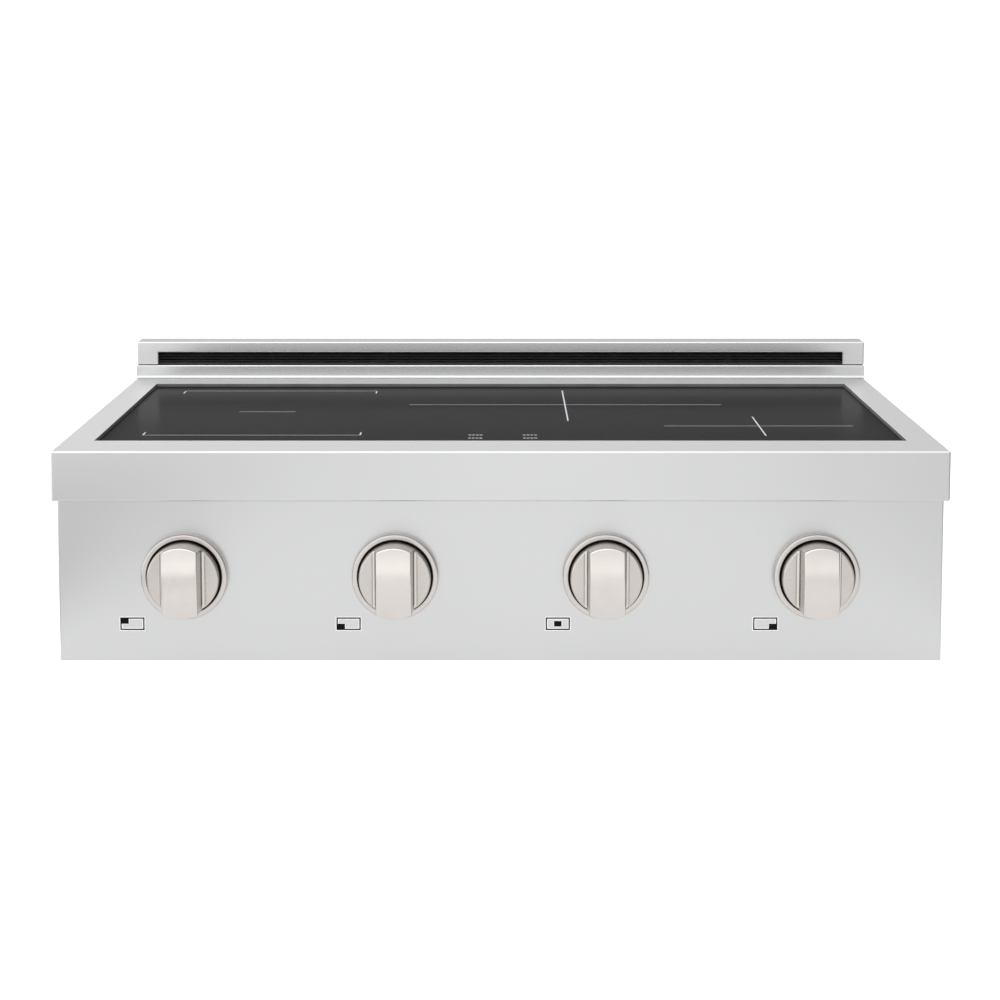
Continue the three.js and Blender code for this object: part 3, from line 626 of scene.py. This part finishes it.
def make_riser():
    """The step under the backguard: its front runs out over the surround in a concave foot."""
    bm = bmesh.new()
    x1, y0, y1, z0, z1 = riser_high.x, cover_low.y, riser_high.y, riser_low.z, riser_high.z
    lip = 12 * MM
    toe = 0.5 * MM
    foot = y0 - riser_low.y
    foot_z = z0 + toe + foot
    curve = []
    for turn in quarter_turn(6):
        curve.append((y0 - foot + foot * math.cos(turn), foot_z - foot * math.sin(turn)))
    curve.append((y0 - foot, z0))
    xs = [-x1, lip - x1, x1 - lip, x1]
    ys = [y0, y0 + lip, y1 - lip, y1]
    grid(bm, xs, [foot_z, z1], lambda x, z: (x, y0, z))
    for (ya, za), (yb, zb) in zip(curve, curve[1:]):
        grid(bm, xs, [0, 1], lambda x, t: (x, ya + (yb - ya) * t, za + (zb - za) * t))
    grid(bm, xs, [z0, foot_z, z1], lambda x, z: (x, y1, z))
    for x in (-x1, x1):
        grid(bm, ys, [z0, foot_z, z1], lambda y, z: (x, y, z))
        bm.faces.new([bm.verts.new((x, y, z)) for y, z in [(y0, z0)] + curve])
    grid(bm, xs, ys, lambda x, y: (x, y, z1), lambda x, y: abs(x) > xs[2] or not ys[1] < y < ys[2])
    bend = 2.1 * MM

    def below_top(point):
        return point.z < z1 - 0.1 * MM

    piece = sheet_piece("backguard_step", bm, Vector((0, (y0 + y1) / 2, z0)), bend, z0, below_top)

    # The step's inner faces are painted near black: painted shade.
    def inside(centre, _):
        between = y0 + SKIN < centre.y < y1 - SKIN
        return between and abs(centre.x) < x1 - SKIN and centre.z < z1 - bend

    paint_faces(piece, "painted_shade", inside)
    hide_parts("backguard_riser")


def make_cover():
    """The folded cover of the backguard: open at the bottom, with a slot in its front."""
    bm = bmesh.new()
    x1, y0, y1, z1 = cover_high.x, cover_low.y, cover_high.y, cover_high.z
    z0 = cover_low.z + 0.4 * MM
    slot_x = grille_high.x - GRILLE_OVERLAP
    slot_z = grille_high.z - GRILLE_OVERLAP
    fold = 5 * MM
    xs = [-x1, -slot_x, slot_x, x1]
    zs = [z0, slot_z, z1]
    ys = [y0, y0 + fold, y1]
    grid(bm, xs, zs, lambda x, z: (x, y0, z), lambda x, z: abs(x) > slot_x or z > slot_z)
    grid(bm, xs, zs, lambda x, z: (x, y1, z))
    for x in (-x1, x1):
        grid(bm, ys, zs, lambda y, z: (x, y, z))
    grid(bm, xs, ys, lambda x, y: (x, y, z1))
    grid(bm, [-slot_x, slot_x], [y0, y0 + fold], lambda x, y: (x, y, slot_z))
    for x in (-slot_x, slot_x):
        grid(bm, [y0, y0 + fold], [z0, slot_z], lambda y, z: (x, y, z))
    piece = sheet_piece("backguard_top", bm, Vector((0, (y0 + y1) / 2, z0)), 1.5 * MM)

    # The cover's inner faces are painted near black: painted shade behind the slot.
    def inside(centre, _):
        between = y0 + SKIN < centre.y < y1 - SKIN
        return between and abs(centre.x) < x1 - SKIN and centre.z < z1 - SKIN

    paint_faces(piece, "painted_shade", inside)
    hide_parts("backguard_cover")


def make_grille():
    """The black insert behind the slot: a frame, four slanted louvres, upright ribs and two tabs."""
    bm = bmesh.new()
    low, high = grille_low, grille_high
    margin, depth = 1.6 * MM, high.y - low.y
    top = high.z - 5 * MM
    rib_pitch, rib_half, rib_depth = 143, 0.8 * MM, 0.6 * MM
    half_depth, half_thick, tilt = depth / 2 - 0.2 * MM, 0.5 * MM, 0.35
    first_louvre, pitch = 2.4 * MM, 3.6 * MM
    # Powers under 1 square the louvre's section off, along it and across it.
    along_power, across_power = 0.35, 0.8
    middle = low.y + depth / 2

    strip(bm, low.x, high.x, low.y, high.y, low.z, low.z + margin)
    strip(bm, low.x, high.x, low.y, high.y, top, high.z)
    for x0 in (low.x, high.x - margin):
        strip(bm, x0, x0 + margin, low.y, high.y, low.z + margin, top)
    for i in range(-2, 3):
        x = i * rib_pitch * MM
        strip(bm, x - rib_half, x + rib_half, high.y - rib_depth, high.y, low.z + margin, top)
    for i in range(4):
        centre = low.z + first_louvre + (i + 0.25) * pitch
        ends = []
        for x in (low.x + margin, high.x - margin):
            ring = []
            for k in range(16):
                turn = 2 * math.pi * k / 16
                along = half_depth * math.copysign(abs(math.cos(turn)) ** along_power, math.cos(turn))
                up = half_thick * math.copysign(abs(math.sin(turn)) ** across_power, math.sin(turn))
                y = middle + along * math.cos(tilt) + up * math.sin(tilt)
                z = centre - along * math.sin(tilt) + up * math.cos(tilt)
                ring.append(bm.verts.new((x, y, z)))
            ends.append(ring)
        bridge_rings(bm, ends)
    # A folded tab in each lower corner of the slot.
    for side in (-1, 1):
        x = side * (high.x - GRILLE_OVERLAP)
        inner = side * (high.x - 9 * MM)
        tab = [
            (x, low.z + 0.8 * MM),
            (x, low.z + 2.0 * MM),
            (inner, low.z + 5.4 * MM),
            (inner, low.z + 4.6 * MM),
        ]
        front = [bm.verts.new((px, low.y - 1.2 * MM, pz)) for px, pz in tab]
        back = [bm.verts.new((px, low.y, pz)) for px, pz in tab]
        bridge_rings(bm, [front, back])
        bm.faces.new(front)
        bm.faces.new(back)
    bmesh.ops.recalc_face_normals(bm, faces=bm.faces)
    piece = finish_piece("vent_louvres", bm, "grille_black", sharp=50)
    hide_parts("vent_grille")


# ---------------------------------------------------------------- knobs and bezels

# Radii and widths are from the knob's axis, and the names with AHEAD and WAIST are ahead of the panel.
KNOB_R = 37.2 * MM
WAIST = 22.5 * MM
WAIST_R = KNOB_R - 0.3 * MM
LOBE_AHEAD = 24.7 * MM
LOBE_EDGE = 1.9 * MM
GRIP_HALF = 18 * MM
GRIP_EDGE = 1.3 * MM
GRIP_R = WAIST_R - 0.1 * MM
CROWN = 4.4 * MM
CROWN_Z = -3 * MM
CHANNEL_WIDTH = 4.8 * MM
CHANNEL_DEPTH = 1.2 * MM
CHANNEL_FILLET = 2.6 * MM
GRIP_DRAFT = 1.3 * MM


def knob_axis(index):
    """The point on a knob's axis in the plane of the control panel."""
    low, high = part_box(f"bezel_{index}")
    return Vector(((low.x + high.x) / 2, panel_low.y, (low.z + high.z) / 2))


def make_bezel(index):
    """The ring round a knob: a flange with a raised rim, and its inner faces painted near black as shade.
    """
    bm = bmesh.new()
    axis = knob_axis(index)
    low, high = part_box(f"bezel_{index}")
    outer = (high.x - low.x) / 2
    inner = outer - 5.5 * MM
    depth = panel_low.y - low.y
    base, flange, bore = 0.3 * MM, 1.5 * MM, 9 * MM
    points = [
        (bore, base),
        (outer, base),
        (outer, depth),
        (inner, depth),
        (inner, flange),
        (bore, flange),
        (bore, base),
    ]
    radii = [0, 2.2 * MM, 0.9 * MM, 0.4 * MM, 0]
    profile = rounded(points, radii, 7)
    rings = turned_about_y(bm, profile[:-1], axis)
    bridge_rings(bm, [rings[-1], rings[0]])
    bmesh.ops.recalc_face_normals(bm, faces=bm.faces)
    piece = finish_piece(f"knob_ring_{index}", bm, "nickel_ring")

    # The faces inside the ring are painted near black: painted shade.
    def in_painted_shade(centre, _):
        radius = math.hypot(centre.x - axis.x, centre.z - axis.z)
        return radius < inner + 0.05 * MM and axis.y - centre.y < depth - 2.2 * MM

    paint_faces(piece, "painted_shade", in_painted_shade)
    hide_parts(f"bezel_{index}")


def knob_sections(reach):
    """Slices of the knob from its middle outwards: how far from the axis, the front's height at z, and the
    rounding where the front meets the round side."""
    floor = LOBE_AHEAD - CHANNEL_DEPTH
    channel_end = GRIP_HALF + CHANNEL_WIDTH
    fold = 0.25 * MM

    def crowned(drop):
        return lambda z: reach - CROWN * ((z - CROWN_Z) / KNOB_R) ** 2 - drop

    def level(height):
        return lambda z: height

    flat_half = GRIP_HALF - GRIP_EDGE
    sections = [(flat_half * k / 6, crowned(0), GRIP_EDGE) for k in range(7)]
    for turn in quarter_turn(6)[1:]:
        x = flat_half + GRIP_EDGE * math.sin(turn)
        sections.append((x, crowned(GRIP_EDGE * (1 - math.cos(turn))), GRIP_EDGE))
    steps = []
    for turn in quarter_turn(8):
        out = CHANNEL_FILLET * (1 - math.cos(turn))
        up = CHANNEL_FILLET * (1 - math.sin(turn))
        steps.append((GRIP_HALF + GRIP_DRAFT + out, floor + up))
    steps += [
        (channel_end - fold, floor),
        (channel_end, floor + fold),
        (channel_end, LOBE_AHEAD - 1.6 * fold),
        (channel_end + 0.5 * fold, LOBE_AHEAD - 0.5 * fold),
        (channel_end + 1.6 * fold, LOBE_AHEAD),
    ]
    sections += [(x, level(height), LOBE_EDGE) for x, height in steps]
    start = math.asin(steps[-1][0] / WAIST_R)
    for k in range(1, 19):
        turn = start + (math.pi / 2 - start) * k / 18
        sections.append((WAIST_R * math.sin(turn), level(LOBE_AHEAD), LOBE_EDGE))
    return sections


def knob_section(x, front, rounding):
    """One slice as (x, z, ahead) points: from the bottom of the back, over the front, to its top."""
    radius = WAIST_R if rounding == LOBE_EDGE else GRIP_R
    inner = radius - rounding

    def height(z):
        past = min(rounding, max(0.0, math.hypot(x, z) - inner))
        return front(z) - rounding + math.sqrt(rounding**2 - past**2)

    inner_z = math.sqrt(max(0.0, inner**2 - x**2))
    reaches = [inner_z * k / 14 for k in range(15)]
    for turn in quarter_turn(6)[1:]:
        out = max(x, inner + rounding * math.sin(turn))
        reaches.append(math.sqrt(max(0.0, out**2 - x**2)))
    waist_z = math.sqrt(max(0.0, WAIST_R**2 - x**2))
    back, skirt, chamfer = 3 * MM, 12 * MM, 0.5 * MM
    side = []
    for ahead, radius_there in (
        (WAIST, WAIST_R),
        (skirt, KNOB_R),
        (back + chamfer, KNOB_R),
        (back, KNOB_R - chamfer),
    ):
        scale = radius_there / WAIST_R
        side.append((x * scale, waist_z * scale, ahead))
    bottom = [(px, -pz, ahead) for px, pz, ahead in reversed(side)]
    bottom += [(x, -z, height(-z)) for z in reversed(reaches[1:])]
    return bottom + [(x, z, height(z)) for z in reaches] + side


def make_knob(index):
    """The knob: a round skirt, two flat lobes with a channel next to the grip, and the crowned grip bar."""
    axis = knob_axis(index)
    low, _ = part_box(f"knob_{index}")
    bm = bmesh.new()
    right = [knob_section(*section) for section in knob_sections(axis.y - low.y)]
    left = [[(-x, z, ahead) for x, z, ahead in slice_] for slice_ in reversed(right[1:])]
    rows = []
    for slice_ in left + right:
        rows.append([bm.verts.new((axis.x + x, axis.y - ahead, axis.z + z)) for x, z, ahead in slice_])
    for first, second in zip(rows, rows[1:]):
        for i in range(len(first) - 1):
            bm.faces.new([first[i], first[i + 1], second[i + 1], second[i]])
    bmesh.ops.remove_doubles(bm, verts=bm.verts, dist=0.004 * MM)
    bmesh.ops.holes_fill(bm, edges=[e for e in bm.edges if e.is_boundary])
    bmesh.ops.recalc_face_normals(bm, faces=bm.faces)
    piece = finish_piece(f"knob_body_{index}", bm, "nickel", body=f"knob_{index}", sharp=35)

    # The lobes and the skirt take the darker nickel copy: painted shade.
    def takes_painted_shade(centre, _):
        ahead = axis.y - centre.y
        outside = abs(centre.x - axis.x) > GRIP_HALF + CHANNEL_WIDTH
        return ahead < WAIST or (outside and ahead < LOBE_AHEAD + 0.1 * MM)

    paint_faces(piece, "nickel_painted_shade", takes_painted_shade)
    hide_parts(f"knob_{index}")


def make_knob_ticks(index):
    """Five short strokes on the top of the skirt, where it comes out of the ring."""
    axis = knob_axis(index)
    half, start = 0.35, 13.4
    sunk, proud = 0.4 * MM, 0.02 * MM
    bm = bmesh.new()
    for turn, length in ((-9, 1.6), (-4.5, 2.4), (0, 3.0), (4.5, 2.4), (9, 1.6)):
        angle = math.radians(turn)
        across = Vector((math.cos(angle), 0, -math.sin(angle)))
        out = Vector((math.sin(angle), 0, math.cos(angle)))
        corners = []
        for side, ahead in ((-half, start), (half, start), (half, start + length), (-half, start + length)):
            corners.append(axis + across * side * MM + Vector((0, -ahead * MM, 0)))
        lower = [bm.verts.new(corner + out * (KNOB_R - sunk)) for corner in corners]
        upper = [bm.verts.new(corner + out * (KNOB_R + proud)) for corner in corners]
        bridge_rings(bm, [lower, upper])
        bm.faces.new(lower)
        bm.faces.new(upper)
    bmesh.ops.recalc_face_normals(bm, faces=bm.faces)
    finish_piece(f"knob_ticks_{index}", bm, "tick", body=f"knob_{index}")


# ---------------------------------------------------------------- glass and prints

MARK_THICK = 0.06 * MM


def make_glass():
    """The glass plate, with rounded corners and a bevelled rim."""
    bm = bmesh.new()
    low, high = glass_low, glass_high
    bmesh.ops.create_cube(bm, size=1)
    size = high - low
    bmesh.ops.scale(bm, vec=size, verts=bm.verts)
    bmesh.ops.translate(bm, vec=(low + high) / 2, verts=bm.verts)

    def rise(edge):
        return abs(edge.verts[0].co.z - edge.verts[1].co.z)

    upright = [e for e in bm.edges if rise(e) > 1 * MM]
    bmesh.ops.bevel(bm, geom=upright, offset=2.5 * MM, segments=6, profile=0.5, affect="EDGES")
    rim = [e for e in bm.edges if rise(e) < 0.01 * MM and len(e.link_faces) == 2]
    bmesh.ops.bevel(bm, geom=rim, offset=0.4 * MM, segments=3, profile=0.5, affect="EDGES")
    piece = finish_piece("glass_surface", bm, "glass_black")
    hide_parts("glass_top")


def make_zone_marks():
    """The printed lines on the glass: a bridged zone at the left, and a cross on each of the two others."""
    z0, z1 = glass_high.z, glass_high.z + MARK_THICK
    front = frame_low.y
    thin, bold = 0.62 * MM, 0.72 * MM

    def across(bm, x0, x1, y):
        strip(bm, x0 * MM, x1 * MM, front + y * MM - thin, front + y * MM + thin, z0, z1)

    def deep(bm, x, y0, y1):
        strip(bm, x * MM - bold, x * MM + bold, front + y0 * MM, front + y1 * MM, z0, z1)

    bridge = bmesh.new()
    across(bridge, -382, -150, 147)
    across(bridge, -382, -150, 538)
    across(bridge, -298, -234, 341)
    for x in (-382, -150):
        deep(bridge, x, 146.6, 168)
        deep(bridge, x, 514, 535.4)
    finish_piece("zone_mark_left", bridge, "mark")
    centre = bmesh.new()
    across(centre, -106.5, 74, 406)
    across(centre, 76, 257, 406)
    deep(centre, 75, 263, 542)
    finish_piece("zone_mark_centre", centre, "mark")
    right = bmesh.new()
    across(right, 179, 282, 220)
    across(right, 284, 386, 220)
    deep(right, 283, 142, 297)
    finish_piece("zone_mark_right", right, "mark")


def make_display_marks():
    """Rows of short dashes over the four level displays."""
    z0, z1 = glass_high.z, glass_high.z + MARK_THICK
    dash_pitch, dash_length, dash_half = 4.0, 2.9 * MM, 0.8 * MM
    bm = bmesh.new()
    for x in (-34.3, 23.8):
        for back in (121.5, 126.5, 145.5, 150.5):
            y = frame_low.y + back * MM
            for k in range(4):
                x0 = (x + k * dash_pitch) * MM
                strip(bm, x0, x0 + dash_length, y - dash_half, y + dash_half, z0, z1)
    finish_piece("display_marks", bm, "mark")


def make_panel_icons():
    """The four burner symbols: a frame of four strips with a black block where the zone is."""
    y1 = panel_low.y
    blocks = {1: (-1, 1), 2: (-1, -1), 3: (0, 0), 4: (1, -1)}
    offsets = {1: -55.3, 2: -48.7, 3: -49.35, 4: -51.75}
    half_w, half_h, line, halo = 11.83 * MM, 5.95 * MM, 0.7 * MM, 0.8 * MM
    z = 38.9 * MM

    def rectangle(bm, x, z, w, h, thick):
        strip(bm, x - w, x + w, y1 - thick, y1, z - h, z + h)

    for index, (side, level) in blocks.items():
        x = knob_axis(index).x + offsets[index] * MM
        white = bmesh.new()
        ink = bmesh.new()
        for bm, grow, thick in ((white, line + halo, 0.02 * MM), (ink, line, 0.04 * MM)):
            for sign in (-1, 1):
                rectangle(bm, x, z + sign * half_h, half_w + grow, grow, thick)
                rectangle(bm, x + sign * half_w, z, grow, half_h - grow, thick)
        bx, bz = x + side * (half_w - 4.2 * MM), z + level * (half_h - 3.1 * MM)
        # The block is 0.001 mm thicker than the frame, so their faces never lie in one plane.
        rectangle(white, bx, bz, 4.5 * MM, 3.2 * MM, 0.021 * MM)
        rectangle(ink, bx, bz, 3.9 * MM, 2.9 * MM, 0.041 * MM)
        finish_piece(f"icon_halo_{index}", white, "halo")
        finish_piece(f"icon_ink_{index}", ink, "ink")


# ---------------------------------------------------------------- coils and fans


def make_coil(zone):
    """A coil wound from one twisted cord: two flat spirals, one on the other."""
    low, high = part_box(f"coil_{zone}")
    middle = (low + high) / 2
    cord = (high.z - low.z) / 4
    thick = 0.97 * cord
    inner_radius = 22 * MM
    start, end = inner_radius + cord, (high.x - low.x) / 2 - cord
    pitch = 2.06 * cord
    turns = (end - start) / pitch
    steps_per_turn, sides = 44, 7
    steps = int(turns * steps_per_turn)
    bm = bmesh.new()
    for z in (low.z + cord, high.z - cord):
        rings = []
        for i in range(steps + 1):
            turn = 2 * math.pi * turns * i / steps
            radius = start + pitch * turns * i / steps
            out = Vector((math.cos(turn), math.sin(turn), 0))
            ring = []
            for k in range(sides):
                around = 2 * math.pi * k / sides
                place = out * (radius + thick * math.cos(around))
                place.z = thick * math.sin(around)
                ring.append(bm.verts.new(place + Vector((middle.x, middle.y, z))))
            rings.append(ring)
        bridge_rings(bm, rings)
        bm.faces.new(rings[0])
        bm.faces.new(rings[-1])
    bmesh.ops.recalc_face_normals(bm, faces=bm.faces)
    piece = finish_piece(f"winding_{zone}", bm, "copper", sharp=60)
    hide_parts(f"coil_{zone}")


def make_rotor(side):
    """A fan rotor: a domed hub with seven swept blades of moulded plastic."""
    low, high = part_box(f"fan_rotor_{side}")
    middle = (low + high) / 2
    hub, tip, half = 18 * MM, (high.x - low.x) / 2 - 0.4 * MM, (high.z - low.z) / 2
    bm = bmesh.new()
    profile = rounded(
        [(2.2 * MM, -half), (hub, -half), (hub, half), (0.2 * MM, half)],
        [0.8 * MM, 3 * MM],
        6,
    )
    turns = [2 * math.pi * k / 48 for k in range(48)]
    rings = []
    for radius, z in profile:
        ring = []
        for turn in turns:
            x = middle.x + radius * math.cos(turn)
            y = middle.y + radius * math.sin(turn)
            ring.append(bm.verts.new((x, y, middle.z + z)))
        rings.append(ring)
    bridge_rings(bm, rings)
    bm.faces.new(rings[-1])
    blades, spans, chords = 7, 8, 10
    half_thick, sunk, camber = 0.55 * MM, 1 * MM, 2.2 * MM
    width, sweep = 0.74, 0.22
    steepness, washout = 1.7, 0.25
    for b in range(blades):
        sheets = []
        for thick in (-half_thick, half_thick):
            rows = []
            for i in range(spans + 1):
                share = i / spans
                radius = hub - sunk + (tip - hub + sunk) * share
                row = []
                for k in range(chords + 1):
                    chord = k / chords - 0.5
                    angle = 2 * math.pi * b / blades + chord * width + sweep * share**2
                    slope = -steepness * chord * half * (1 - washout * share)
                    rise = slope + camber * (0.25 - chord**2) + thick
                    place = (radius * math.cos(angle), radius * math.sin(angle), rise)
                    row.append(bm.verts.new(Vector(place) + middle))
                rows.append(row)
            sheets.append(rows)
        for rows in sheets:
            for first, second in zip(rows, rows[1:]):
                for k in range(chords):
                    bm.faces.new([first[k], first[k + 1], second[k + 1], second[k]])
        rims = []
        for rows in sheets:
            trailing = [row[-1] for row in rows[1:]]
            leading = [row[0] for row in rows[-2:0:-1]]
            rims.append(rows[0] + trailing + rows[-1][-2::-1] + leading)
        bridge_rings(bm, rims)
    bmesh.ops.recalc_face_normals(bm, faces=bm.faces)
    name, body = f"fan_blades_{side}", f"{side}_fan"
    piece = finish_piece(name, bm, "black_plastic", body=body, sharp=50)
    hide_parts(f"fan_rotor_{side}")


# ---------------------------------------------------------------- carried-over CAD nodes


def dress_cad_nodes():
    """Every CAD node takes the material of its slot, and a fine break along its sharp edges."""
    slots = {entry["node"]: entry["material_slot"] for entry in frame["record"]["subparts"]}
    for name, node in NODES.items():
        material = "steel_side" if name.endswith("side_panel") else slots[name]
        node.data.materials.clear()
        node.data.materials.append(MATERIALS[material])
        weld = node.modifiers.new("weld", "WELD")
        weld.merge_threshold = 0.005 * MM
        edge = node.modifiers.new("edge", "BEVEL")
        edge.width = 0.25 * MM
        edge.segments = 2
        edge.limit_method = "ANGLE"
        edge.angle_limit = math.radians(40)
        edge.harden_normals = True


make_studio()
make_top_frame()
make_front_panel()
make_riser()
make_cover()
make_grille()
make_glass()
make_zone_marks()
make_display_marks()
make_panel_icons()
for zone in ZONES:
    make_coil(zone)
for fan in FANS:
    make_rotor(fan)
for knob in KNOBS:
    make_bezel(knob)
    make_knob(knob)
    make_knob_ticks(knob)
dress_cad_nodes()
